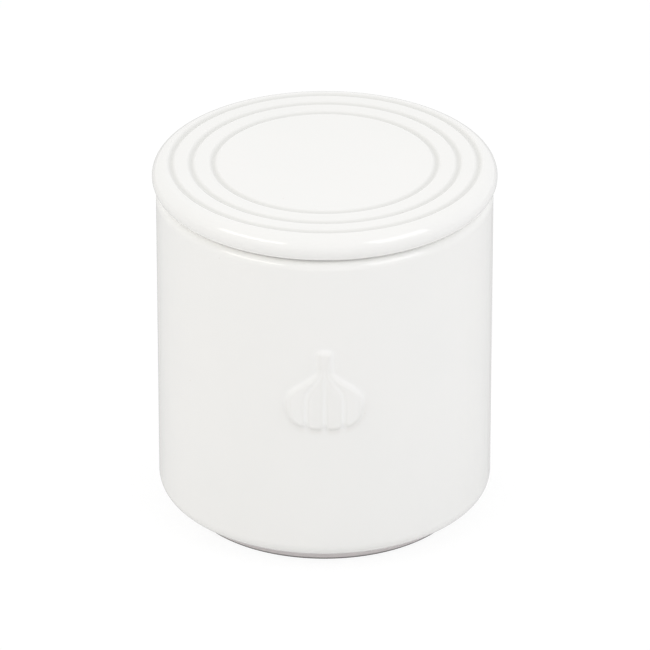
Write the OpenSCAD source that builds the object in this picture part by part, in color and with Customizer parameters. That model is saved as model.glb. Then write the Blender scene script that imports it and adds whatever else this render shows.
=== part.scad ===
// Stoneware garlic keeper: a straight-sided jar on a foot ring, with a flat
// grooved lid that drops into the mouth on a locating flange.
// Millimetres, +Z up, origin on the table at the middle of the foot ring.
// The raised garlic bulb faces -Y, the vent holes face +Y.

/* [Jar] */
// Outside diameter of the jar wall
jar_d = 105.6; // [90:0.2:140]
// Height of the jar from the table to its rim
jar_h = 108.7; // [95:0.1:160]
// Thickness of the jar wall
wall_t = 6; // [4:0.1:8]
// Thickness of the jar floor over the foot hollow
floor_t = 6.5; // [4:0.5:10]
// Outer rounding of the rim, under the lid
shoulder_r = 3.2; // [1:0.1:6]
// Inner rounding of the mouth
lip_r = 1; // [0.4:0.1:2]
// Rounding where the wall turns under
heel_r = 4.5; // [1:0.5:7]
// Rounding between the inner wall and the floor
cove_r = 10; // [2:0.5:20]

/* [Foot ring] */
// How far the foot ring stands in from the wall
foot_inset = 8; // [4:0.5:14]
// Height of the jar's underside above the table, outside the foot ring
foot_h = 4.75; // [3:0.25:8]
// Width of the foot ring
foot_w = 5; // [3:0.25:10]
// Depth of the hollow inside the foot ring
hollow_h = 3.5; // [2:0.25:3.75]
// Rounding of the foot ring's edges and of the corners behind it
foot_edge_r = 0.8; // [0.3:0.1:0.9]

/* [Vent holes] */
// Diameter of a vent hole
vent_d = 6; // [3:0.5:8]
// Spacing of the vent holes, along the wall and up it
vent_pitch = 13; // [10:0.5:20]
// Vent holes in each row
vent_cols = 3; // [1:1:5]
// Rows of vent holes
vent_rows = 2; // [1:1:3]
// Height of the middle of the vent holes
vent_z = 66; // [55:1:72]

/* [Raised garlic bulb] */
// Width of the bulb
bulb_w = 25; // [15:0.5:40]
// Height of the whole figure, bulb and stem
bulb_h = 27; // [24:0.5:36]
// Height of its lowest point above the table
bulb_z = 51; // [30:0.5:52]
// Height of the bulb's widest place above its lowest point
belly_h = 8.5; // [6:0.5:12]
// Height at which the bulb has drawn in to the stem
neck_h = 22; // [16:0.5:23.5]
// Width of the stem
stem_w = 4.25; // [2:0.25:6]
// Cloves that show across the bulb
cloves = 4; // [2:1:6]
// Width of the valleys between the cloves
valley_w = 0.9; // [0.4:0.1:1.4]
// How far the middle of the bulb stands out from the wall
relief_mid = 1; // [0.5:0.1:1]
// How far the edges of the bulb stand out from the wall
relief_edge = 0.6; // [0.2:0.1:0.8]

/* [Lid] */
// How far the lid reaches past the jar wall
overhang = 1.2; // [0:0.1:4]
// Thickness of the lid plate
lid_t = 8.8; // [6:0.1:12]
// Width of the rounding at the top of the lid's edge
rim_top_w = 5.2; // [3:0.1:7]
// Width of the rounding at the bottom of the lid's edge
rim_low_w = 5.5; // [1:0.1:6]
// Depth of the locating flange under the lid
flange_h = 8; // [4:0.5:14]
// Thickness of the locating flange
flange_t = 4.5; // [3:0.25:8]
// Gap around the flange in the mouth
flange_gap = 0.9; // [0.4:0.1:2]
// Fillet at the root of the flange
root_r = 0.8; // [0.3:0.1:1]

/* [Lid grooves] */
// From the lid's edge to the middle of the outer groove
groove_inset = 5.95; // [4:0.05:12]
// From the outer groove to the middle one
outer_step = 6.3; // [4:0.1:9]
// From the middle groove to the inner one
inner_step = 6.85; // [4:0.1:9]
// Width of a groove
groove_w = 3; // [1.5:0.1:3.4]
// Depth of a groove
groove_depth = 0.6; // [0.2:0.05:1.2]

/* [Hidden] */
$fn = 128;

glaze = [0.95, 0.94, 0.92];
arc_steps = 10;             // stretches in a quarter turn of a rounding
groove_steps = 6;           // stretches in half a groove
outline_steps = 16;         // stretches in a curve of the bulb's outline
past = 1;                   // how far a cutter runs past what it cuts
fullness = 0.75;            // below 1, the bulb's shoulders are fuller than a cosine
notch_flare = 3;            // how many times wider a valley is where it opens below
valley_taper = 0.7;         // share of its width that a valley loses up to the neck

jar_r = jar_d / 2;
bore_r = jar_r - wall_t;
floor_z = hollow_h + floor_t;
foot_r = jar_r - foot_inset;
foot_in_r = foot_r - foot_w;
land_w = 0.5;               // least flat left on the rim for the lid to sit on
shoulder = min(shoulder_r, wall_t - lip_r - land_w);
heel = min(heel_r, foot_inset - foot_edge_r);

lid_r = jar_r + overhang;
seat_z = jar_h;
lid_top = seat_z + lid_t;
flange_r = bore_r - flange_gap;
flange_in_r = flange_r - flange_t;
flange_z = seat_z - flange_h;
flange_edge_r = flange_t / 3;
rim_mid_z = seat_z + lid_t / 2;
rim_in_r = lid_r - rim_top_w;
rim_low = min(rim_low_w, lid_r - bore_r - lip_r - land_w);
groove_radii = [
    lid_r - groove_inset - outer_step - inner_step,
    lid_r - groove_inset - outer_step,
    lid_r - groove_inset
];
groove_out_r = lid_r - groove_inset + groove_w / 2;
rim_start = acos(max(0, (groove_out_r - rim_in_r) / rim_top_w));

// The bulb's crown is part of an upright cylinder: it passes relief_mid in
// front of the wall at the middle, and relief_edge at both sides.
bulb_half = bulb_w / 2;
crown_rise = jar_r + relief_mid - sqrt(pow(jar_r + relief_edge, 2) - pow(bulb_half, 2));
crown_r = (pow(bulb_half, 2) + pow(crown_rise, 2)) / (2 * crown_rise);

// Points on an arc about c with radii rx and ry, from angle a0 to a1
function arc(c, rx, ry, a0, a1) = [
    for (i = [0 : arc_steps])
        let (a = a0 + (a1 - a0) * i / arc_steps)
            [c[0] + rx * cos(a), c[1] + ry * sin(a)]
];

// Points on a round corner of radius r about [x, z]
function corner(x, z, r, a0, a1) = arc([x, z], r, r, a0, a1);

// Height of the lid's top at radius r, before the grooves are cut
function top_z(r) =
    let (s = max(0, (r - rim_in_r) / rim_top_w))
        rim_mid_z + lid_t / 2 * sqrt(1 - s * s);

// Points across a soft-edged groove in the lid's top, about radius r
function groove(r) = [
    for (i = [-groove_steps : groove_steps])
        let (s = i / groove_steps, x = r + s * groove_w / 2)
            [x, top_z(x) - groove_depth * (1 + cos(180 * s)) / 2]
];

// Half section of the jar: foot hollow, foot ring, wall, rim, then the inside
jar_profile = concat(
    [[0, hollow_h]],
    corner(foot_in_r - foot_edge_r, hollow_h - foot_edge_r, foot_edge_r, 90, 0),
    corner(foot_in_r + foot_edge_r, foot_edge_r, foot_edge_r, 180, 270),
    corner(foot_r - foot_edge_r, foot_edge_r, foot_edge_r, 270, 360),
    corner(foot_r + foot_edge_r, foot_h - foot_edge_r, foot_edge_r, 180, 90),
    corner(jar_r - heel, foot_h + heel, heel, 270, 360),
    corner(jar_r - shoulder, jar_h - shoulder, shoulder, 0, 90),
    corner(bore_r + lip_r, jar_h - lip_r, lip_r, 90, 180),
    corner(bore_r - cove_r, floor_z + cove_r, cove_r, 0, -90),
    [[0, floor_z]]
);

// Half section of the lid: top with its grooves, round edge, then the flange
lid_profile = concat(
    [[0, lid_top]],
    [for (r = groove_radii) each groove(r)],
    arc([rim_in_r, rim_mid_z], rim_top_w, lid_t / 2, rim_start, 0),
    arc([lid_r - rim_low, rim_mid_z], rim_low, lid_t / 2, 0, -90),
    corner(flange_r + root_r, seat_z - root_r, root_r, 90, 180),
    corner(flange_r - flange_edge_r, flange_z + flange_edge_r, flange_edge_r, 0, -90),
    corner(flange_in_r + flange_edge_r, flange_z + flange_edge_r, flange_edge_r, -90, -180),
    corner(flange_in_r - root_r, seat_z - root_r, root_r, 0, 90),
    [[0, seat_z]]
);

// Half width of the bulb's shoulders and stem at height h above its base
function shoulder_w(h) =
    let (draw = h < neck_h ? (1 + cos(180 * (h - belly_h) / (neck_h - belly_h))) / 2 : 0)
        stem_w / 2 + (bulb_half - stem_w / 2) * pow(draw, fullness);

// Right half of the bulb's outline, from its base to the top of the stem
bulb_side = concat(
    [for (i = [0 : outline_steps])
        let (a = 90 * i / outline_steps)
            [bulb_half * sin(a), belly_h * (1 - cos(a))]],
    [for (i = [1 : outline_steps])
        let (h = belly_h + (neck_h - belly_h) * i / outline_steps)
            [shoulder_w(h), h]],
    [[stem_w / 2, bulb_h]]
);

// Points in the opposite order
function backwards(points) = [for (i = [len(points) - 1 : -1 : 0]) points[i]];

// One side of a valley at share f of the half width: it opens in a notch at
// the bulb's underside, stands upright below the belly, and then draws in
// and narrows with the shoulders
function valley_side(f, side) =
    let (foot = belly_h * (1 - sqrt(1 - f * f)), half = side * valley_w / 2)
        concat(
            [[f * bulb_half + notch_flare * half, foot - past],
             [f * bulb_half + half, foot + valley_w],
             [f * bulb_half + half, belly_h]],
            [for (i = [1 : outline_steps])
                let (up = i / outline_steps, h = belly_h + (neck_h - belly_h) * up)
                    [f * shoulder_w(h) + half * (1 - valley_taper * up), h]]
        );

module valley(f) {
    polygon(concat(valley_side(f, -1), backwards(valley_side(f, 1))));
}

module bulb_outline() {
    difference() {
        polygon(concat(bulb_side, [for (p = backwards(bulb_side)) [-p[0], p[1]]]));
        for (k = [1 : cloves - 1])
            valley(2 * k / cloves - 1);
    }
}

module garlic_relief() {
    intersection() {
        translate([0, 0, bulb_z]) rotate([90, 0, 0])
            linear_extrude(jar_r + relief_mid + past) bulb_outline();
        difference() {
            translate([0, crown_r - jar_r - relief_mid, bulb_z - past])
                cylinder(r = crown_r, h = bulb_h + 2 * past);
            cylinder(r = jar_r - wall_t / 2, h = jar_h);
        }
    }
}

module vent_holes() {
    step = vent_pitch / jar_r * 180 / PI;
    for (row = [0 : vent_rows - 1], col = [0 : vent_cols - 1])
        rotate([0, 0, 90 + step * (col - (vent_cols - 1) / 2)])
            translate([0, 0, vent_z + vent_pitch * (row - (vent_rows - 1) / 2)])
                rotate([0, 90, 0]) cylinder(d = vent_d, h = jar_r + past);
}

module jar() {
    color(glaze) {
        difference() {
            rotate_extrude() polygon(jar_profile);
            vent_holes();
        }
        garlic_relief();
    }
}

module lid() {
    color(glaze) rotate_extrude() polygon(lid_profile);
}

jar();
lid();
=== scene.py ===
"""Dresses a stoneware garlic keeper: a glazed jar on a bare foot ring, and its grooved lid.

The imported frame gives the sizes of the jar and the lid. Each is turned again here as
a fine mesh from a half section, with the raised garlic bulb pressed into the jar's
front and the vent holes punched through its back, and gets the finish of the real
pottery. Lengths are metres, +Z is up and the front faces -Y.
"""

from __future__ import annotations

import logging
import math
from dataclasses import dataclass
from enum import Enum, IntEnum

import bmesh
import bpy
import numpy as np
from mathutils import Matrix, Vector

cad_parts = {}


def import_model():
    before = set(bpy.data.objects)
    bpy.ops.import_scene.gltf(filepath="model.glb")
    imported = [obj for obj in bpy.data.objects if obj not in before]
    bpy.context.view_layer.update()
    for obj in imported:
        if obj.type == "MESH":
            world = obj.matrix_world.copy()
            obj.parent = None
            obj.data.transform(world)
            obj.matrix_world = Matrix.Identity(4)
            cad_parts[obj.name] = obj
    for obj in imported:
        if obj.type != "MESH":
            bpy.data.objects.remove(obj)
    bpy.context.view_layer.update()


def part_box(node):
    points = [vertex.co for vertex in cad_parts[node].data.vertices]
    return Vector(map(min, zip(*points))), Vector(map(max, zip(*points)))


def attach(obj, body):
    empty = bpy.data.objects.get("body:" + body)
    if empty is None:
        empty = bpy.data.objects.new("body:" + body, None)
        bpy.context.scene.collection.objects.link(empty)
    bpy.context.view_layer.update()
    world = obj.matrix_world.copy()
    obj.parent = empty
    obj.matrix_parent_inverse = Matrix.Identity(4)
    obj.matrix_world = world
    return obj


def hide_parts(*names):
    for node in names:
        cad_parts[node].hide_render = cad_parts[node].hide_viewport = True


LOG = logging.getLogger("garlic_keeper")
MM = 0.001
PHOTO_PX = 650
GUARD = 0.3 * MM  # short stretch beside a rounding, so that the flat next to it shades flat
FLANGE_GAP = 0.9 * MM  # play of the lid's flange in the mouth
WELD = 0.001 * MM  # vertices nearer than this become one
NEAR_ZERO = 1e-14  # least square of an edge's length, so that nothing is divided by 0
WHITE = "#FFFFFF"


class Skin(IntEnum):
    """Which finish a face of the pottery has, as its material number."""

    GLAZED = 0
    BARE = 1


class Side(Enum):
    """Where a softbox stands, seen from the front."""

    LEFT = -1
    RIGHT = 1


def linear(hex_code: str) -> tuple[float, float, float, float]:
    """Turn an sRGB hex colour into the linear colour that shaders and lamps take.

    Args:
        hex_code: The colour as "#RRGGBB".

    Returns:
        Linear red, green, blue and an alpha of 1.
    """
    parts = [int(hex_code[i : i + 2], 16) / 255 for i in (1, 3, 5)]
    curve = [p / 12.92 if p <= 0.04045 else ((p + 0.055) / 1.055) ** 2.4 for p in parts]
    return (curve[0], curve[1], curve[2], 1.0)


def add_node(
    tree: bpy.types.NodeTree,
    kind: str,
    settings: dict[str, object] | None = None,
    values: dict[str | int, object] | None = None,
    links: dict[str | int, bpy.types.NodeSocket] | None = None,
) -> bpy.types.Node:
    """Add a node with its settings, its input values and its incoming links.

    Args:
        tree: The node tree to add to.
        kind: The node's type name.
        settings: Properties of the node itself.
        values: Input values, by input name or number.
        links: Output sockets to join to inputs, by input name or number.

    Returns:
        The new node.
    """
    node = tree.nodes.new(kind)
    for name, value in (settings or {}).items():
        setattr(node, name, value)
    for key, value in (values or {}).items():
        node.inputs[key].default_value = value
    for key, socket in (links or {}).items():
        tree.links.new(socket, node.inputs[key])
    return node


def pattern_scale(size: float) -> float:
    """Give the texture scale at which one cell of a pattern is size metres wide."""
    return 1.0 / size


# ---------------------------------------------------------------- finishes


@dataclass(frozen=True)
class GlossGlaze:
    """White gloss glaze on stoneware, dipped and fired.

    A thick opaque glaze: a hard mirror-like top, whitest where it lies thick in hollows
    and greyer where it thins over raised edges. The greyer tint also paints shade under the
    raised bulb, the whiter tint paints light on the bulb's upper foot, and the lid's cut
    rings are painted grey as the shade in them. Long soft undulations from the dip bend
    the reflections slightly.
    """

    name: str = "white_gloss_glaze_stoneware"
    full: str = "#F8F7F5"
    shade: str = "#F4F4F2"
    # greyer where the glaze thins over raised edges, and painted shade under the raised bulb
    thin_and_shade: str = "#E7E5E1"
    # whiter where the glaze lies thick in hollows, and painted light on the raised bulb's upper
    # foot
    pool_and_light: str = "#FCFCFB"
    # painted shade in the lid's grooves
    groove_shade: str = "#E5E5E2"
    speck: str = "#DCD5CB"
    ior: float = 1.52  # a lead-free gloss glaze
    roughness: float = 0.045  # fired smooth, near a mirror
    roughness_spread: tuple[float, float] = (-0.015, 0.02)
    cloud: float = 32 * MM
    wave: float = 9 * MM
    wave_depth: float = 0.02 * MM
    speck_spacing: float = 3.2 * MM
    speck_size: tuple[float, float] = (0.05, 0.09)  # core and edge, as shares of a cell
    speck_strength: float = 0.5
    speck_rarity: tuple[float, float] = (0.90, 0.98)  # cells below the first have none

    def build(self) -> bpy.types.Material:
        """Make the material.

        Returns:
            The glaze as a node material.
        """
        material = bpy.data.materials.new(self.name)
        material.use_nodes = True
        tree = material.node_tree
        tree.nodes.clear()
        where = add_node(tree, "ShaderNodeTexCoord").outputs["Object"]
        cloud = add_node(
            tree, "ShaderNodeTexNoise",
            values={"Scale": pattern_scale(self.cloud), "Detail": 3.0, "Roughness": 0.5},
            links={"Vector": where},
        )
        mottled = add_node(
            tree, "ShaderNodeMix", {"data_type": "RGBA"},
            {"A": linear(self.full), "B": linear(self.shade)},
            {"Factor": cloud.outputs["Fac"]},
        )
        tint = mottled.outputs["Result"]
        # Tints from the mesh: thinner glaze with painted shade, thick glaze with painted light,
        # and painted shade in the lid's grooves
        for attribute, stain in (
            ("thin_glaze_and_shade", self.thin_and_shade), ("pooled_glaze_and_light", self.pool_and_light), ("painted_groove_shade", self.groove_shade)
        ):
            share = add_node(tree, "ShaderNodeAttribute", {"attribute_name": attribute})
            tint = add_node(
                tree, "ShaderNodeMix", {"data_type": "RGBA"}, {"B": linear(stain)},
                {"Factor": share.outputs["Fac"], "A": tint},
            ).outputs["Result"]
        cells = add_node(
            tree, "ShaderNodeTexVoronoi", {"feature": "F1"},
            {"Scale": pattern_scale(self.speck_spacing)}, {"Vector": where},
        )
        dots = add_node(
            tree, "ShaderNodeMapRange", {"interpolation_type": "SMOOTHSTEP"},
            {
                "From Min": self.speck_size[0], "From Max": self.speck_size[1],
                "To Min": self.speck_strength, "To Max": 0.0,
            },
            {"Value": cells.outputs["Distance"]},
        )
        rare = add_node(
            tree, "ShaderNodeMapRange",
            values={"From Min": self.speck_rarity[0], "From Max": self.speck_rarity[1]},
            links={"Value": cells.outputs["Color"]},
        )
        specks = add_node(
            tree, "ShaderNodeMath", {"operation": "MULTIPLY"},
            links={0: dots.outputs["Result"], 1: rare.outputs["Result"]},
        )
        colour = add_node(
            tree, "ShaderNodeMix", {"data_type": "RGBA"},
            {"B": linear(self.speck)},
            {"Factor": specks.outputs["Value"], "A": tint},
        )
        gloss = add_node(
            tree, "ShaderNodeMapRange",
            values={
                "To Min": self.roughness + self.roughness_spread[0],
                "To Max": self.roughness + self.roughness_spread[1],
            },
            links={"Value": cloud.outputs["Fac"]},
        )
        wave = add_node(
            tree, "ShaderNodeTexNoise",
            values={"Scale": pattern_scale(self.wave), "Detail": 1.0},
            links={"Vector": where},
        )
        bump = add_node(
            tree, "ShaderNodeBump",
            values={"Strength": 1.0, "Distance": self.wave_depth},
            links={"Height": wave.outputs["Fac"]},
        )
        shader = add_node(
            tree, "ShaderNodeBsdfPrincipled",
            values={"IOR": self.ior},
            links={
                "Base Color": colour.outputs["Result"],
                "Roughness": gloss.outputs["Result"],
                "Normal": bump.outputs["Normal"],
            },
        )
        add_node(
            tree, "ShaderNodeOutputMaterial",
            links={"Surface": shader.outputs["BSDF"]},
        )
        return material


@dataclass(frozen=True)
class BareClay:
    """Fired stoneware clay, wiped clean of glaze before the kiln.

    Dry, matt and faintly pink, with fine grog that shows as grain. The lowest edge, where
    the foot meets the table, is painted darker as contact shadow.
    """

    name: str = "bare_stoneware_clay"
    clay: str = "#F2EDED"
    grain: str = "#E8E1E1"
    # painted contact shadow along the foot's lowest edge
    contact_shade: str = "#4A4645"
    contact_shade_height: float = 0.95 * MM
    ior: float = 1.45  # dry clay
    roughness: float = 0.85  # matt, as wiped with a sponge
    grog: float = 0.6 * MM
    grog_depth: float = 0.03 * MM

    def build(self) -> bpy.types.Material:
        """Make the material.

        Returns:
            The bare clay as a node material.
        """
        material = bpy.data.materials.new(self.name)
        material.use_nodes = True
        tree = material.node_tree
        tree.nodes.clear()
        where = add_node(tree, "ShaderNodeTexCoord").outputs["Object"]
        grog = add_node(
            tree, "ShaderNodeTexNoise",
            values={"Scale": pattern_scale(self.grog), "Detail": 4.0, "Roughness": 0.65},
            links={"Vector": where},
        )
        colour = add_node(
            tree, "ShaderNodeMix", {"data_type": "RGBA"},
            {"A": linear(self.clay), "B": linear(self.grain)},
            {"Factor": grog.outputs["Fac"]},
        )
        # Painted contact shadow: darker towards the very bottom of the foot
        height = add_node(tree, "ShaderNodeSeparateXYZ", links={"Vector": where}).outputs["Z"]
        low = add_node(
            tree, "ShaderNodeMapRange", {"interpolation_type": "SMOOTHSTEP"},
            {
                "From Min": self.contact_shade_height / 3, "From Max": self.contact_shade_height,
                "To Min": 1.0, "To Max": 0.0,
            },
            {"Value": height},
        )
        contact_shade = add_node(
            tree, "ShaderNodeMix", {"data_type": "RGBA"},
            {"B": linear(self.contact_shade)},
            {"Factor": low.outputs["Result"], "A": colour.outputs["Result"]},
        )
        bump = add_node(
            tree, "ShaderNodeBump",
            values={"Strength": 1.0, "Distance": self.grog_depth},
            links={"Height": grog.outputs["Fac"]},
        )
        shader = add_node(
            tree, "ShaderNodeBsdfPrincipled",
            values={"Roughness": self.roughness, "IOR": self.ior},
            links={"Base Color": contact_shade.outputs["Result"], "Normal": bump.outputs["Normal"]},
        )
        add_node(
            tree, "ShaderNodeOutputMaterial",
            links={"Surface": shader.outputs["BSDF"]},
        )
        return material


# ---------------------------------------------------------------- turning


class Section:
    """A half section drawn as one wire in the XZ plane, to be turned about the Z axis."""

    def __init__(self, x: float, z: float) -> None:
        """Start the wire at radius x and height z."""
        self.bm = bmesh.new()
        self.tip = self.bm.verts.new((x, 0.0, z))

    def line_to(self, x: float, z: float, rows: int = 1) -> None:
        """Draw a straight from the tip.

        Args:
            x: Radius of its end.
            z: Height of its end.
            rows: Equal stretches in it.
        """
        step = (Vector((x, 0.0, z)) - self.tip.co) / rows
        for _ in range(rows):
            made = bmesh.ops.extrude_vert_indiv(self.bm, verts=[self.tip])
            self.tip = made["verts"][0]
            self.tip.co += step

    def turn(
        self, x: float, z: float, degrees: float, steps: int,
        stretch: tuple[float, float] = (1.0, 1.0),
    ) -> None:
        """Draw an arc from the tip.

        Args:
            x: Radius of the arc's centre.
            z: Height of the arc's centre.
            degrees: Angle of the arc, anticlockwise with the radius to the right.
            steps: Stretches in it.
            stretch: Factors across and up that make it part of an ellipse.
        """
        centre = Vector((x, 0.0, z))
        older = set(self.bm.verts)
        made = bmesh.ops.spin(
            self.bm, geom=[self.tip], cent=centre, axis=(0.0, -1.0, 0.0),
            angle=math.radians(degrees), steps=steps, use_duplicate=False,
        )
        self.tip = next(v for v in made["geom_last"] if isinstance(v, bmesh.types.BMVert))
        newer = [v for v in self.bm.verts if v not in older]
        bmesh.ops.scale(
            self.bm, vec=(stretch[0], 1.0, stretch[1]),
            space=Matrix.Translation(-centre), verts=newer,
        )

    def revolve(self, columns: int, wedges: int = 18) -> bmesh.types.BMesh:
        """Turn the section into a closed body: one wedge first, then its copies.

        Args:
            columns: Steps in the full turn, a multiple of wedges.
            wedges: Wedges in the full turn.

        Returns:
            The turned mesh, with its seams and poles closed and its faces outwards.
        """
        wedge = math.tau / wedges
        about = {"cent": (0.0, 0.0, 0.0), "axis": (0.0, 0.0, 1.0)}
        bmesh.ops.spin(
            self.bm, geom=self.bm.verts[:] + self.bm.edges[:], angle=wedge,
            steps=columns // wedges, use_duplicate=False, **about,
        )
        bmesh.ops.spin(
            self.bm, geom=self.bm.verts[:] + self.bm.edges[:] + self.bm.faces[:],
            angle=math.tau - wedge, steps=wedges - 1, use_duplicate=True, **about,
        )
        bmesh.ops.remove_doubles(self.bm, verts=self.bm.verts, dist=WELD)
        bmesh.ops.recalc_face_normals(self.bm, faces=self.bm.faces)
        return self.bm


def make_piece(
    name: str, bm: bmesh.types.BMesh, finishes: list[bpy.types.Material]
) -> bpy.types.Object:
    """Turn a finished bmesh into a smooth-shaded piece of the scene.

    Args:
        name: Name of the piece.
        bm: Its mesh, which is freed.
        finishes: Materials in the order of Skin.

    Returns:
        The new object, at the origin.
    """
    mesh = bpy.data.meshes.new(name)
    bm.to_mesh(mesh)
    bm.free()
    mesh.polygons.foreach_set("use_smooth", [True] * len(mesh.polygons))
    for finish in finishes:
        mesh.materials.append(finish)
    piece = bpy.data.objects.new(name, mesh)
    bpy.context.scene.collection.objects.link(piece)
    LOG.info("%s: %d vertices, %d faces", name, len(mesh.vertices), len(mesh.polygons))
    return piece


def store_glaze_lie(mesh: bpy.types.Mesh, tight: float) -> None:
    """Store where the glaze has run thinner and where it has pooled.

    Glaze slides off sharp bulges and gathers in sharp hollows, so both follow from how
    the surface bends at each vertex. What the mesh already has of either is kept; on the
    jar that includes painted shade under the raised bulb and painted light on its upper foot.

    Args:
        mesh: The mesh, which gets the attributes thin_glaze_and_shade and
            pooled_glaze_and_light.
        tight: Radius of the bend at which either is at its strongest.
    """
    count = len(mesh.vertices)
    places = np.empty(count * 3)
    normals = np.empty(count * 3)
    ends = np.empty(len(mesh.edges) * 2, dtype=np.int64)
    mesh.vertices.foreach_get("co", places)
    mesh.vertices.foreach_get("normal", normals)
    mesh.edges.foreach_get("vertices", ends)
    places = places.reshape(-1, 3)
    normals = normals.reshape(-1, 3)
    ends = ends.reshape(-1, 2)
    run = places[ends[:, 1]] - places[ends[:, 0]]
    square = np.maximum((run**2).sum(axis=1), NEAR_ZERO)
    first = -2.0 * (run * normals[ends[:, 0]]).sum(axis=1) / square
    last = 2.0 * (run * normals[ends[:, 1]]).sum(axis=1) / square
    for name, sign in (("thin_glaze_and_shade", 1.0), ("pooled_glaze_and_light", -1.0)):
        bend = np.zeros(count)
        np.maximum.at(bend, ends[:, 0], sign * first)
        np.maximum.at(bend, ends[:, 1], sign * last)
        lie = mesh.attributes.get(name) or mesh.attributes.new(name, "FLOAT", "POINT")
        share = np.empty(count)
        lie.data.foreach_get("value", share)
        lie.data.foreach_set("value", np.clip(share + bend * tight, 0.0, 1.0))


# ---------------------------------------------------------------- raised bulb


@dataclass
class GarlicRelief:
    """The raised garlic bulb on the jar's front: cloves that fan out under a cut stem."""

    # The outline, with heights above its base
    base: float = 51.0 * MM
    width: float = 23.2 * MM
    height: float = 27.0 * MM
    belly: float = 8.5 * MM
    shoulder: float = 9.4 * MM
    neck: float = 20.6 * MM
    stem: float = 4.25 * MM
    stem_corner: float = 1.3 * MM
    fullness: float = 1.2  # above 1, the shoulders are fuller than a cosine
    squareness: float = 2.9  # 2 makes the underside part of an ellipse
    outline_steps: int = 24
    corner_steps: int = 8

    # Its rise, and the width of the slope down to the wall
    rise_mid: float = 1.0 * MM
    rise_edge: float = 0.95 * MM
    slope_low: float = 1.9 * MM
    slope_high: float = 2.3 * MM
    slope_outside: float = 0.45  # share of the slope that lies outside the outline
    margin: float = 2.2 * MM  # wall around the outline that is made finer with it

    # The valleys between the cloves, which widen and deepen in a notch below
    cloves: int = 4
    valley: float = 1.1 * MM
    valley_share: float = 0.3
    valley_fade: float = 0.25
    notch: float = 2.2 * MM
    notch_flare: float = 0.8

    # The glaze: thinner on the crown and pooled in valleys; painted shade on the lower brow
    # under the bulb, and pooled glaze with painted light on the ledge's upper half
    thinning: float = 0.12
    # Painted shade: the lower brow darkens the wall under the bulb's underside and just below
    # its outline
    painted_under_shade: float = 0.46
    brow: float = 2.3 * MM
    brow_outside: float = 0.5 * MM
    brow_height: float = 3.0 * MM
    brow_fade: float = 0.65
    # Pooled glaze at the relief's foot, kept to the upper half as painted light where the
    # slopes face up
    ledge_pool_and_light: float = 0.3
    valley_pooling: float = 0.5
    ledge: float = 1.7 * MM
    ledge_outside: float = 0.6 * MM
    ledge_blend: float = 4.0 * MM

    def half_width(self, up: np.ndarray) -> np.ndarray:
        """Give the bulb's half width at and over its belly.

        Args:
            up: Heights above the bulb's base.

        Returns:
            Half widths, down to half the stem at the neck, and its round corners.
        """
        share = np.clip((up - self.shoulder) / (self.neck - self.shoulder), 0.0, 1.0)
        draw = (1.0 + np.cos(np.pi * share**self.fullness)) / 2.0
        past = np.clip(up - (self.height - self.stem_corner), 0.0, self.stem_corner)
        corner = self.stem_corner - np.sqrt(self.stem_corner**2 - past**2)
        return self.stem / 2 + (self.width / 2 - self.stem / 2) * draw - corner

    def underside(self, across: np.ndarray) -> np.ndarray:
        """Give the height of the bulb's rounded underside, a little squarer than an ellipse.

        Args:
            across: Distances from the middle as shares of the half width, from 0 to 1.

        Returns:
            Heights above the bulb's base.
        """
        return self.belly * (1.0 - (1.0 - across**self.squareness) ** (1.0 / self.squareness))

    def side(self) -> np.ndarray:
        """Give the right half of the outline.

        Returns:
            Its points, from the base to the top of the stem.
        """
        across = np.sin(np.linspace(0.0, np.pi / 2, self.outline_steps))
        low = np.stack([self.width / 2 * across, self.underside(across)], axis=1)
        up = np.linspace(self.belly, self.neck, self.outline_steps)[1:]
        high = np.stack([self.half_width(up), up], axis=1)
        turn = np.linspace(0.0, np.pi / 2, self.corner_steps)
        end = self.height - self.stem_corner * (1 - np.sin(turn))
        top = np.stack([self.half_width(end), end], axis=1)
        return np.concatenate([low, high, top, [[0.0, self.height]]])

    def valley_line(self, share: float) -> np.ndarray:
        """Give the middle line of a valley.

        Args:
            share: Where it lies, as a share of the half width, from -1 to 1.

        Returns:
            Its points, from the underside to the neck.
        """
        foot = float(self.underside(np.array(abs(share))))
        up = np.linspace(self.belly, self.neck, self.outline_steps)
        high = np.stack([share * self.half_width(up), up], axis=1)
        return np.concatenate([[[share * self.width / 2, foot - self.slope_low]], high])

    @staticmethod
    def distance(points: np.ndarray, line: np.ndarray) -> np.ndarray:
        """Give each point's distance from a line of straight stretches.

        Args:
            points: Points as rows of two.
            line: The line's points as rows of two.

        Returns:
            One distance for each point.
        """
        nearest = np.full(len(points), np.inf)
        for start, end in zip(line[:-1], line[1:]):
            run = end - start
            along = np.clip((points - start) @ run / (run @ run), 0.0, 1.0)
            gap = np.linalg.norm(points - start - along[:, None] * run, axis=1)
            nearest = np.minimum(nearest, gap)
        return nearest

    @staticmethod
    def ease(share: np.ndarray) -> np.ndarray:
        """Turn a straight ramp from 0 to 1 into one with soft ends."""
        share = np.clip(share, 0.0, 1.0)
        return share * share * (3.0 - 2.0 * share)

    def depth(self, points: np.ndarray, underside: np.ndarray) -> np.ndarray:
        """Work out how deep inside the outline each point lies.

        Args:
            points: Rows of the distance from the middle and the height above the base.
            underside: Height of the underside at each point.

        Returns:
            Distances from the outline, below 0 outside it.
        """
        folded = np.stack([np.abs(points[:, 0]), points[:, 1]], axis=1)
        gap = self.distance(folded, self.side())
        inside = (
            (points[:, 1] > underside) & (points[:, 1] < self.height)
            & (folded[:, 0] < self.half_width(points[:, 1]))
        )
        return np.where(inside, gap, -gap)

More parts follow.
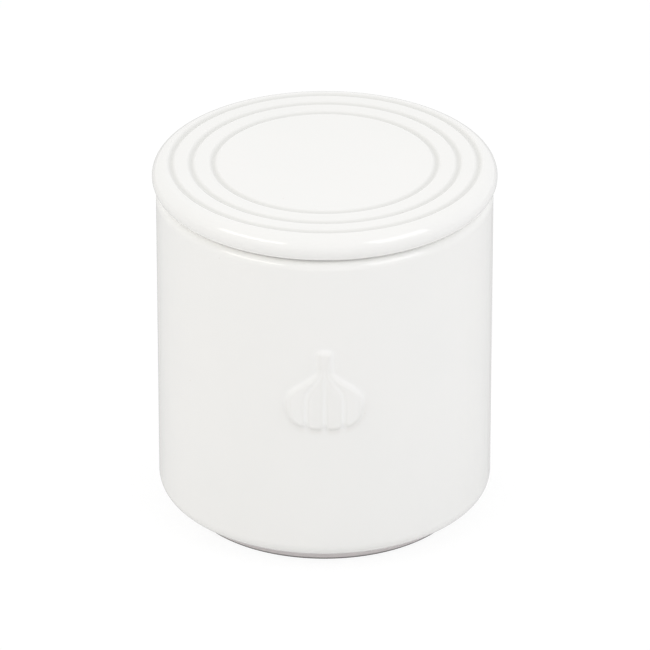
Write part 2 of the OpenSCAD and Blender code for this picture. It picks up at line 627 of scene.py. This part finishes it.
    def cut(self, points: np.ndarray, opening: np.ndarray) -> np.ndarray:
        """Work out how far each point lies in a valley.

        Args:
            points: Rows of the distance from the middle and the height above the base.
            opening: How far each point lies in the notch at the underside, up to 1.

        Returns:
            Shares from 0 on a clove to 1 along a valley's middle line.
        """
        fade = np.interp(points[:, 1], [self.belly, self.neck], [1.0, self.valley_fade])
        reach = self.valley * (1.0 + self.notch_flare * opening)
        cut = np.zeros(len(points))
        for k in range(1, self.cloves):
            line = self.valley_line(2 * k / self.cloves - 1)
            near = 1.0 - self.distance(points, line) / reach
            cut = np.maximum(cut, self.ease(near) * fade)
        return cut

    def rise(self, points: np.ndarray) -> tuple[np.ndarray, np.ndarray, np.ndarray]:
        """Work out how far the relief stands out from the wall, and how its glaze lies.

        Args:
            points: Rows of the distance along the wall from the middle, and the
                height above the bulb's base.

        Returns:
            The rise at each point, its share of thinner glaze and painted shade, and its
            share of pooled glaze and painted light.
        """
        up = points[:, 1]
        across = np.clip(np.abs(points[:, 0]) / (self.width / 2), 0.0, 1.0)
        underside = self.underside(across)
        opening = np.clip(1.0 - (up - underside) / self.notch, 0.0, 1.0)
        depth = self.depth(points, underside)
        cut = self.cut(points, opening)
        crown = 1.0 - across**2
        top = self.rise_edge + (self.rise_mid - self.rise_edge) * crown
        slope = np.interp(up, [0.0, self.belly], [self.slope_low, self.slope_high])
        body = self.ease(depth / slope + self.slope_outside)
        depth_share = self.valley_share + (1.0 - self.valley_share) * opening
        # The ledge whitens the foot of the relief on its upper half only: pooled glaze, and
        # painted light where the slopes face up
        above = self.ease((up - self.belly) / self.ledge_blend + 0.5)
        ledge = self.ease(1.0 - np.abs(depth + self.ledge_outside) / self.ledge) * above
        # The brow darkens the wall under the bulb's underside: painted shade
        below = np.clip(1.0 - (up - underside) / self.brow_height, 0.0, 1.0)
        brow = self.ease(1.0 - np.abs(depth + self.brow_outside) / self.brow) * below
        brow = brow * (1.0 - self.brow_fade * across**3)
        thin_and_shade = self.thinning * body * crown**3 + self.painted_under_shade * brow
        pool_and_light = np.maximum(self.ledge_pool_and_light * ledge, self.valley_pooling * cut * body)
        return top * body * (1.0 - depth_share * cut), thin_and_shade * (1.0 - cut), pool_and_light


# ---------------------------------------------------------------- jar


@dataclass
class VentHoles:
    """Round holes punched through the rear wall, with edges softened by the glaze."""

    diameter: float = 6.0 * MM
    pitch: float = 13.0 * MM
    columns: int = 3
    rows: int = 2
    middle: float = 66.0 * MM
    edge: float = 0.9 * MM
    edge_steps: int = 6
    cells: int = 12  # cells of the wall's grid in a pitch
    clear: float = 1.1 * MM  # from a hole's rounding to the whole cells around it
    skin: float = 1.5 * MM  # how far from its radius a face still counts as the skin's

    def step(self, radius: float) -> float:
        """Give the angle between neighbouring holes on a wall of that radius."""
        return self.pitch / radius

    def places(self, radius: float) -> list[tuple[float, float]]:
        """List the holes.

        Args:
            radius: Outside radius of the wall.

        Returns:
            The angle about the axis and the height of each hole.
        """
        return [
            (
                math.pi / 2 + self.step(radius) * (column - (self.columns - 1) / 2),
                self.middle + self.pitch * (row - (self.rows - 1) / 2),
            )
            for row in range(self.rows)
            for column in range(self.columns)
        ]

    def open_skin(
        self, bm: bmesh.types.BMesh, around: dict[bmesh.types.BMFace, Vector], angle: float,
        height: float, radius: float, inwards: float,
    ) -> list[bmesh.types.BMEdge]:
        """Take a block of faces out of one skin and round its edge into a hole.

        Args:
            bm: The jar's mesh.
            around: The faces that may be cut, with their middles.
            angle: The hole's angle about the axis.
            height: The hole's height.
            radius: The skin's radius.
            inwards: 1 on the outer skin, where the hole runs to the axis, or -1.

        Returns:
            The edges of the hole's last ring, inside the wall.
        """
        out = Vector((math.cos(angle), math.sin(angle), 0.0))
        along = Vector((-out.y, out.x, 0.0))
        half = self.diameter / 2 + self.edge + self.clear
        block = {
            face
            for face, middle in around.items()
            if abs(middle.dot(along)) < half
            and abs(middle.z - height) < half
            and abs(middle.dot(out) - radius) < self.skin
        }
        inside = {edge for face in block for edge in face.edges}
        rim = [edge for edge in inside if sum(face in block for face in edge.link_faces) == 1]
        for face in block:
            del around[face]
        bmesh.ops.delete(bm, geom=list(block), context="FACES")
        rings = [(self.diameter / 2 + self.edge + GUARD, 0.0)]
        for k in range(self.edge_steps + 1):
            turn = math.pi / 2 * k / self.edge_steps
            ring_radius = self.diameter / 2 + self.edge * (1 - math.sin(turn))
            rings.append((ring_radius, self.edge * (1 - math.cos(turn))))
        for ring_radius, depth in rings:
            made = bmesh.ops.extrude_edge_only(bm, edges=rim)
            rim = [
                item
                for item in made["geom"]
                if isinstance(item, bmesh.types.BMEdge) and item.is_boundary
            ]
            loose = {v for edge in rim for v in edge.verts}
            for vert in loose:
                across = vert.co.dot(along)
                up = vert.co.z - height
                scale = ring_radius / math.hypot(across, up)
                across, up = across * scale, up * scale
                reach = math.sqrt(radius**2 - across**2) - inwards * depth
                vert.co = out * reach + along * across + Vector((0.0, 0.0, height + up))
        return rim

    def punch(self, bm: bmesh.types.BMesh, outer: float, inner: float) -> None:
        """Punch every hole.

        Args:
            bm: The jar's mesh.
            outer: Outside radius of the wall.
            inner: Inside radius of the wall.
        """
        reach = self.pitch * (self.rows + 1) / 2
        around = {
            face: middle
            for face in bm.faces
            if (middle := face.calc_center_median()).y > inner / 2
            and abs(middle.z - self.middle) < reach
        }
        for angle, height in self.places(outer):
            ends = self.open_skin(bm, around, angle, height, outer, 1.0)
            ends += self.open_skin(bm, around, angle, height, inner, -1.0)
            bmesh.ops.bridge_loops(bm, edges=ends)


@dataclass
class Jar:
    """The stoneware jar: floor, foot ring, heel, wall, rounded rim, relief and vents."""

    radius: float
    height: float
    relief: GarlicRelief
    vents: VentHoles
    wall: float = 6.0 * MM
    hollow: float = 3.5 * MM
    floor: float = 6.5 * MM
    shoulder: float = 3.2 * MM
    lip: float = 1.0 * MM
    heel: float = 4.5 * MM
    cove: float = 10.0 * MM
    foot_inset: float = 8.0 * MM
    foot_height: float = 4.75 * MM
    foot_width: float = 5.0 * MM
    foot_edge: float = 0.8 * MM
    glaze_end: float = 0.2 * MM  # rounding where the glaze stops on the foot
    row: float = 3.0 * MM
    band_below: float = 4.0 * MM  # of fine rows under the relief
    band_above: float = 2.5 * MM  # of fine rows over it
    relief_cuts: int = 3
    relief_reach: float = 1.2  # shares of the refined width in which points may rise
    skin: float = 0.5 * MM  # how far from the wall's radius a point still counts as its
    foot_slack: float = 0.05 * MM

    def fine_band(self) -> tuple[float, float, int]:
        """Give the band of wall that holds the relief and the vents on fine rows.

        Returns:
            Its lower and its upper end, and the rows in it.
        """
        cell = self.vents.pitch / self.vents.cells
        middle = self.vents.middle
        below = middle - (self.relief.base - self.band_below)
        above = self.relief.base + self.relief.height + self.band_above - middle
        low = middle - cell * math.ceil(below / cell)
        high = middle + cell * math.ceil(above / cell)
        return low, high, round((high - low) / cell)

    def columns(self) -> int:
        """Give the steps of the turn that put the vents on whole columns."""
        return round(math.tau / (self.vents.step(self.radius) / self.vents.cells))

    def draw_wall(
        self, section: Section, radius: float, start: float, end: float, up: bool
    ) -> None:
        """Draw a wall with fine rows where the relief and the vents are.

        Args:
            section: The section to draw on.
            radius: Radius of the wall.
            start: Lowest height of the straight wall.
            end: Highest height of the straight wall.
            up: Whether to draw from the bottom to the top.
        """
        low, high, rows = self.fine_band()
        stops = [
            (start + GUARD, 1),
            (low, math.ceil((low - start) / self.row)),
            (high, rows),
            (end - GUARD, math.ceil((end - high) / self.row)),
            (end, 1),
        ]
        if not up:
            heights = [start] + [z for z, _ in stops]
            counts = [n for _, n in stops]
            stops = list(zip(reversed(heights[:-1]), reversed(counts)))
        for z, count in stops:
            section.line_to(radius, z, count)

    def build_mesh(self) -> bmesh.types.BMesh:
        """Turn the jar's body.

        Returns:
            The plain turned jar, before the relief and the vents.
        """
        bore = self.radius - self.wall
        foot = self.radius - self.foot_inset
        foot_in = foot - self.foot_width
        edge = self.foot_edge
        glaze_low = self.foot_height - edge - self.glaze_end
        floor_top = self.hollow + self.floor
        section = Section(0.0, self.hollow)
        section.line_to(foot_in - edge - GUARD, self.hollow, rows=12)
        section.line_to(foot_in - edge, self.hollow)
        section.turn(foot_in - edge, self.hollow - edge, -90.0, steps=6)
        section.line_to(foot_in, edge, rows=2)
        section.turn(foot_in + edge, edge, 90.0, steps=6)
        section.line_to(foot - edge, 0.0, rows=3)
        section.turn(foot - edge, edge, 90.0, steps=6)
        section.line_to(foot, glaze_low, rows=3)
        section.turn(foot + self.glaze_end, glaze_low, -90.0, steps=4)
        section.tip.co.z = self.foot_height - edge
        section.turn(foot + edge, self.foot_height - edge, -90.0, steps=6)
        section.line_to(self.radius - self.heel, self.foot_height, rows=4)
        section.turn(self.radius - self.heel, self.foot_height + self.heel, 90.0, steps=14)
        heel_top, shoulder_low = self.foot_height + self.heel, self.height - self.shoulder
        self.draw_wall(section, self.radius, heel_top, shoulder_low, True)
        section.turn(self.radius - self.shoulder, self.height - self.shoulder, 90.0, steps=14)
        section.line_to(bore + self.lip, self.height, rows=2)
        section.turn(bore + self.lip, self.height - self.lip, 90.0, steps=8)
        self.draw_wall(section, bore, floor_top + self.cove, self.height - self.lip, False)
        section.turn(bore - self.cove, floor_top + self.cove, -90.0, steps=12)
        section.line_to(bore - self.cove - GUARD, floor_top)
        section.line_to(0.0, floor_top, rows=10)
        return section.revolve(self.columns())

    def press_relief(self, bm: bmesh.types.BMesh) -> None:
        """Refine the front of the wall and raise the garlic bulb from it.

        Args:
            bm: The jar's mesh.
        """
        thin_and_shade = bm.verts.layers.float.new("thin_glaze_and_shade")
        pool_and_light = bm.verts.layers.float.new("pooled_glaze_and_light")
        reach = (self.relief.width / 2 + self.relief.margin) / self.radius
        low = self.relief.base - self.relief.margin
        high = self.relief.base + self.relief.height + self.relief.margin
        front = [
            face
            for face in bm.faces
            if low < (centre := face.calc_center_median()).z < high
            and abs(math.atan2(centre.x, -centre.y)) < reach
            and abs(math.hypot(centre.x, centre.y) - self.radius) < self.skin
        ]
        edges = list({edge for face in front for edge in face.edges})
        bmesh.ops.subdivide_edges(
            bm, edges=edges, cuts=self.relief_cuts, use_grid_fill=True
        )
        patch = [
            vert
            for vert in bm.verts
            if low - self.row < vert.co.z < high + self.row
            and abs(math.atan2(vert.co.x, -vert.co.y)) < reach * self.relief_reach
            and abs(math.hypot(vert.co.x, vert.co.y) - self.radius) < self.skin
        ]
        turns = np.array([math.atan2(vert.co.x, -vert.co.y) for vert in patch])
        ups = np.array([vert.co.z - self.relief.base for vert in patch])
        spots = np.stack([self.radius * np.sin(turns), ups], axis=1)
        rises, thin_and_shade_shares, pool_and_light_shares = self.relief.rise(spots)
        for vert, turn, rise, run, pool_and_light_share in zip(patch, turns, rises, thin_and_shade_shares, pool_and_light_shares):
            reach_out = self.radius + float(rise)
            vert.co.x = reach_out * math.sin(turn)
            vert.co.y = -reach_out * math.cos(turn)
            # Shares of thinner glaze with painted shade, and of thick glaze with painted light
            vert[thin_and_shade] = float(run)
            vert[pool_and_light] = float(pool_and_light_share)

    def mark_skins(self, bm: bmesh.types.BMesh) -> None:
        """Give the foot ring its bare clay and the rest its glaze.

        Args:
            bm: The jar's mesh.
        """
        foot = self.radius - self.foot_inset
        foot_in = foot - self.foot_width
        glaze_low = self.foot_height - self.foot_edge - self.glaze_end
        for face in bm.faces:
            centre = face.calc_center_median()
            across = math.hypot(centre.x, centre.y)
            on_ring = foot_in - self.foot_slack < across < foot + self.foot_slack
            outside = across > foot - self.foot_edge - self.glaze_end
            low = centre.z < (glaze_low if outside else self.hollow - self.foot_edge)
            face.material_index = Skin.BARE if on_ring and low else Skin.GLAZED

    def build(self, finishes: list[bpy.types.Material]) -> bpy.types.Object:
        """Make the finished jar.

        Args:
            finishes: Materials in the order of Skin.

        Returns:
            The jar, riding on its own body in place of the plain one.
        """
        bm = self.build_mesh()
        self.vents.punch(bm, self.radius, self.radius - self.wall)
        self.press_relief(bm)
        bmesh.ops.recalc_face_normals(bm, faces=bm.faces)
        self.mark_skins(bm)
        jar = make_piece("jar_stoneware", bm, finishes)
        store_glaze_lie(jar.data, tight=0.12 * MM)
        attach(jar, "jar")
        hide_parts("jar")
        return jar


# ---------------------------------------------------------------- lid


@dataclass
class Lid:
    """The stoneware lid: grooved plate, rounded edge and the flange that drops in the mouth."""

    radius: float
    seat: float
    top: float
    flange_low: float
    flange: float
    flange_wall: float = 4.5 * MM
    rim_top: float = 5.2 * MM
    rim_low: float = 4.7 * MM
    root: float = 0.8 * MM
    groove_inset: float = 5.95 * MM
    outer_step: float = 6.3 * MM
    inner_step: float = 6.85 * MM
    groove_width: float = 3.0 * MM
    groove_depth: float = 0.6 * MM
    fine_row: float = 0.25 * MM
    fine_margin: float = 0.5 * MM
    bare_edge: float = 0.5 * MM
    columns: int = 306

    def grooves(self) -> list[float]:
        """Give the radius of each groove.

        Returns:
            Radii from the inside outwards.
        """
        outer = self.radius - self.groove_inset
        middle = outer - self.outer_step
        return [middle - self.inner_step, middle, outer]

    def press_grooves(self, section: Section) -> None:
        """Sink the soft grooves into the section's top.

        Args:
            section: The section, drawn up to the lid's edge.
        """
        for vert in section.bm.verts:
            for groove in self.grooves():
                off = abs(vert.co.x - groove) / (self.groove_width / 2)
                if off < 1.0:
                    vert.co.z -= self.groove_depth * (1 + math.cos(math.pi * off)) / 2

    def build_mesh(self) -> bmesh.types.BMesh:
        """Turn the lid.

        Returns:
            The closed lid.
        """
        middle = (self.top + self.seat) / 2
        half = self.top - middle
        rim_in = self.radius - self.rim_top
        flange_in = self.flange - self.flange_wall
        edge = self.flange_wall / 3
        fine = self.grooves()[0] - self.groove_width / 2 - self.fine_margin
        section = Section(0.0, self.top)
        section.line_to(fine, self.top, rows=8)
        fine_rows = math.ceil((rim_in - fine) / self.fine_row)
        section.line_to(rim_in, self.top, rows=fine_rows)
        section.turn(
            rim_in, middle, -90.0, steps=28, stretch=(self.rim_top / half, 1.0)
        )
        self.press_grooves(section)
        section.turn(
            self.radius - self.rim_low, middle, -90.0,
            steps=16, stretch=(1.0, half / self.rim_low),
        )
        section.line_to(self.flange + self.root, self.seat, rows=3)
        section.turn(self.flange + self.root, self.seat - self.root, 90.0, steps=6)
        section.line_to(self.flange, self.flange_low + edge, rows=4)
        section.turn(self.flange - edge, self.flange_low + edge, -90.0, steps=8)
        section.line_to(flange_in + edge, self.flange_low, rows=2)
        section.turn(flange_in + edge, self.flange_low + edge, -90.0, steps=8)
        section.line_to(flange_in, self.seat - self.root, rows=4)
        section.turn(flange_in - self.root, self.seat - self.root, 90.0, steps=6)
        section.line_to(flange_in - self.root - GUARD, self.seat)
        section.line_to(0.0, self.seat, rows=10)
        return section.revolve(self.columns)

    def mark_groove_shade(self, bm: bmesh.types.BMesh) -> None:
        """Store how deep each vertex of the top lies in a groove, as its share of painted
        shade.

        Args:
            bm: The lid's mesh.
        """
        groove_shade = bm.verts.layers.float.new("painted_groove_shade")
        for vert in bm.verts:
            if vert.co.z > self.seat + self.groove_depth:
                across = math.hypot(vert.co.x, vert.co.y)
                away = min(abs(across - groove) for groove in self.grooves())
                off = min(away / (self.groove_width / 2), 1.0)
                # painted shade, deepest in the middle of each groove
                vert[groove_shade] = (1 + math.cos(math.pi * off)) / 2

    def build(self, finishes: list[bpy.types.Material]) -> bpy.types.Object:
        """Make the finished lid.

        Args:
            finishes: Materials in the order of Skin.

        Returns:
            The lid, riding on its own body in place of the plain one.
        """
        bm = self.build_mesh()
        self.mark_groove_shade(bm)
        for face in bm.faces:
            low = face.calc_center_median().z < self.flange_low + self.bare_edge
            face.material_index = Skin.BARE if low else Skin.GLAZED
        lid = make_piece("lid_stoneware", bm, finishes)
        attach(lid, "lid")
        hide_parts("lid")
        return lid


# ---------------------------------------------------------------- studio


@dataclass(frozen=True)
class Softbox:
    """A softbox that faces the keeper, placed by its angles in degrees.

    Its level is its brightness, where 1 is white.
    """

    name: str
    side: Side
    azimuth: float
    size: tuple[float, float]
    level: float
    colour: str
    elevation: float = 38.0
    distance: float = 1.2

    def hang(self, target: Vector) -> None:
        """Hang the softbox in the scene.

        Args:
            target: The point that it faces.
        """
        data = bpy.data.lights.new(self.name, "AREA")
        data.shape = "RECTANGLE"
        data.size, data.size_y = self.size
        data.energy = self.level * math.pi * self.size[0] * self.size[1]
        data.color = linear(self.colour)[:3]
        lamp = bpy.data.objects.new(self.name, data)
        bpy.context.scene.collection.objects.link(lamp)
        turn = self.side.value * math.radians(self.azimuth)
        tilt = math.radians(self.elevation)
        out = Vector(
            (math.sin(turn) * math.cos(tilt), -math.cos(turn) * math.cos(tilt), math.sin(tilt))
        )
        lamp.location = target + out * self.distance
        lamp.rotation_euler = out.to_track_quat("Z", "Y").to_euler()


@dataclass
class Studio:
    """The plain white studio: table, soft light all round, two softboxes and the camera."""

    aim_height: float = 59.73 * MM
    camera_distance: float = 2.2
    camera_elevation: float = 27.8  # degrees
    photo_px_per_mm: float = 3.165
    aim_shift_px: float = 0.3
    sensor: float = 36.0  # millimetres
    far: float = 50.0
    world_level: float = 0.746  # brightness of the surrounding light, where 1 is white
    world_lean: float = 0.2  # how much brighter it is from behind
    world_sides: float = 0.18  # how much brighter it is from both sides
    table_half: float = 3.0
    table_paper: tuple[str, str] = ("#F3F3F3", "#F1F1F1")
    table_fibre: float = 4 * MM
    table_shade: float = 0.13  # what the camera sees of the light and shadow on the table
    table_white: float = 0.89  # what is added to it, so that the open table is white
    # Painted reflection: a fixed grey glow that the glaze sees in place of the lit table
    painted_table_reflection: float = 0.64  # how grey the table is in the glaze's reflections
    softboxes: tuple[Softbox, ...] = (
        Softbox("softbox_left", Side.LEFT, 52.0, (0.88, 0.3), 3.2, "#FFFCF6"),
        Softbox("softbox_right", Side.RIGHT, 53.0, (0.76, 0.52), 2.25, "#FAFBFF"),
    )

    def place_camera(self) -> None:
        """Look down at the keeper's front with a long lens, as the photo does."""
        data = bpy.data.cameras.new("camera")
        camera = bpy.data.objects.new("camera", data)
        bpy.context.scene.collection.objects.link(camera)
        tilt = math.radians(self.camera_elevation)
        aim = Vector((self.aim_shift_px / self.photo_px_per_mm * MM, 0.0, self.aim_height))
        back = Vector((0.0, -math.cos(tilt), math.sin(tilt)))
        camera.location = aim + back * self.camera_distance
        camera.rotation_euler = (math.pi / 2 - tilt, 0.0, 0.0)
        data.sensor_width = self.sensor
        frame_width = PHOTO_PX / self.photo_px_per_mm * MM
        data.lens = self.sensor * self.camera_distance / frame_width
        data.clip_end = self.far
        bpy.context.scene.camera = camera

    def lay_floor(self) -> None:
        """Lay a white table that the camera sees as white, with the keeper's shadow kept.

        The glaze's reflections see the same table as pale grey, as the photo's edges do.
        """
        bm = bmesh.new()
        bmesh.ops.create_grid(bm, x_segments=8, y_segments=8, size=self.table_half)
        material = bpy.data.materials.new("matt_white_table_paper")
        material.use_nodes = True
        tree = material.node_tree
        tree.nodes.clear()
        where = add_node(tree, "ShaderNodeTexCoord").outputs["Object"]
        fibre = add_node(
            tree, "ShaderNodeTexNoise",
            values={"Scale": pattern_scale(self.table_fibre)}, links={"Vector": where},
        )
        paper = add_node(
            tree, "ShaderNodeMix", {"data_type": "RGBA"},
            {"A": linear(self.table_paper[0]), "B": linear(self.table_paper[1])},
            {"Factor": fibre.outputs["Fac"]},
        )
        lit = add_node(tree, "ShaderNodeBsdfDiffuse", links={"Color": paper.outputs["Result"]})
        shaded = add_node(
            tree, "ShaderNodeBsdfDiffuse", values={"Color": (*[self.table_shade] * 3, 1.0)}
        )
        white = add_node(tree, "ShaderNodeEmission", values={"Strength": self.table_white})
        seen = add_node(
            tree, "ShaderNodeAddShader",
            links={0: shaded.outputs["BSDF"], 1: white.outputs["Emission"]},
        )
        # Painted reflection: glossy rays see this fixed grey glow instead of the lit paper
        grey = add_node(tree, "ShaderNodeEmission", values={"Strength": self.painted_table_reflection})
        ray = add_node(tree, "ShaderNodeLightPath")
        direct = add_node(
            tree, "ShaderNodeMath", {"operation": "MAXIMUM"},
            links={0: ray.outputs["Is Camera Ray"], 1: ray.outputs["Is Transmission Ray"]},
        )
        mirrored = add_node(
            tree, "ShaderNodeMixShader",
            links={
                0: ray.outputs["Is Glossy Ray"],
                1: lit.outputs["BSDF"],
                2: grey.outputs["Emission"],
            },
        )
        mixed = add_node(
            tree, "ShaderNodeMixShader",
            links={
                0: direct.outputs["Value"],
                1: mirrored.outputs["Shader"],
                2: seen.outputs["Shader"],
            },
        )
        add_node(tree, "ShaderNodeOutputMaterial", links={"Surface": mixed.outputs["Shader"]})
        floor = make_piece("studio_floor", bm, [material])

    def light_world(self) -> None:
        """Surround the keeper with soft light that leans to the back and the sides.

        The camera and the glaze's reflections see it as plain white.
        """
        world = bpy.data.worlds.new("studio_world")
        bpy.context.scene.world = world
        world.use_nodes = True
        tree = world.node_tree
        tree.nodes.clear()
        ray = add_node(tree, "ShaderNodeLightPath")
        sight = add_node(
            tree, "ShaderNodeMath", {"operation": "MAXIMUM"},
            links={0: ray.outputs["Is Camera Ray"], 1: ray.outputs["Is Transmission Ray"]},
        )
        sight = add_node(
            tree, "ShaderNodeMath", {"operation": "MAXIMUM"},
            links={0: sight.outputs["Value"], 1: ray.outputs["Is Glossy Ray"]},
        )
        where = add_node(tree, "ShaderNodeTexCoord").outputs["Generated"]
        towards = add_node(tree, "ShaderNodeSeparateXYZ", links={"Vector": where})
        level = add_node(
            tree, "ShaderNodeMath", {"operation": "MULTIPLY_ADD"},
            {1: self.world_lean, 2: self.world_level}, {0: towards.outputs["Y"]},
        )
        square = add_node(
            tree, "ShaderNodeMath", {"operation": "MULTIPLY"},
            links={0: towards.outputs["X"], 1: towards.outputs["X"]},
        )
        level = add_node(
            tree, "ShaderNodeMath", {"operation": "MULTIPLY_ADD"},
            {1: self.world_sides}, {0: square.outputs["Value"], 2: level.outputs["Value"]},
        )
        even = add_node(
            tree, "ShaderNodeBackground",
            values={"Color": linear(WHITE)}, links={"Strength": level.outputs["Value"]},
        )
        white = add_node(
            tree, "ShaderNodeBackground", values={"Color": linear(WHITE), "Strength": 1.0}
        )
        mixed = add_node(
            tree, "ShaderNodeMixShader",
            links={
                0: sight.outputs["Value"],
                1: even.outputs["Background"],
                2: white.outputs["Background"],
            },
        )
        add_node(tree, "ShaderNodeOutputWorld", links={"Surface": mixed.outputs["Shader"]})

    def build(self) -> None:
        """Set up the whole studio."""
        self.place_camera()
        self.lay_floor()
        self.light_world()
        for softbox in self.softboxes:
            softbox.hang(Vector((0.0, 0.0, self.aim_height)))
        bpy.context.scene.view_settings.view_transform = "Standard"


def main() -> None:
    """Build the keeper around its frame and set up the studio."""
    logging.basicConfig(level=logging.INFO, format="%(message)s")
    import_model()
    jar_low, jar_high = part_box("jar")
    lid_low, lid_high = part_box("lid")
    finishes = [GlossGlaze().build(), BareClay().build()]
    jar = Jar(radius=jar_high[0], height=jar_high[2], relief=GarlicRelief(), vents=VentHoles())
    jar.build(finishes)
    lid = Lid(
        radius=lid_high[0], seat=jar_high[2], top=lid_high[2], flange_low=lid_low[2],
        flange=jar.radius - jar.wall - FLANGE_GAP,
    )
    lid.build(finishes)
    Studio().build()


if __name__ == "__main__":
    main()
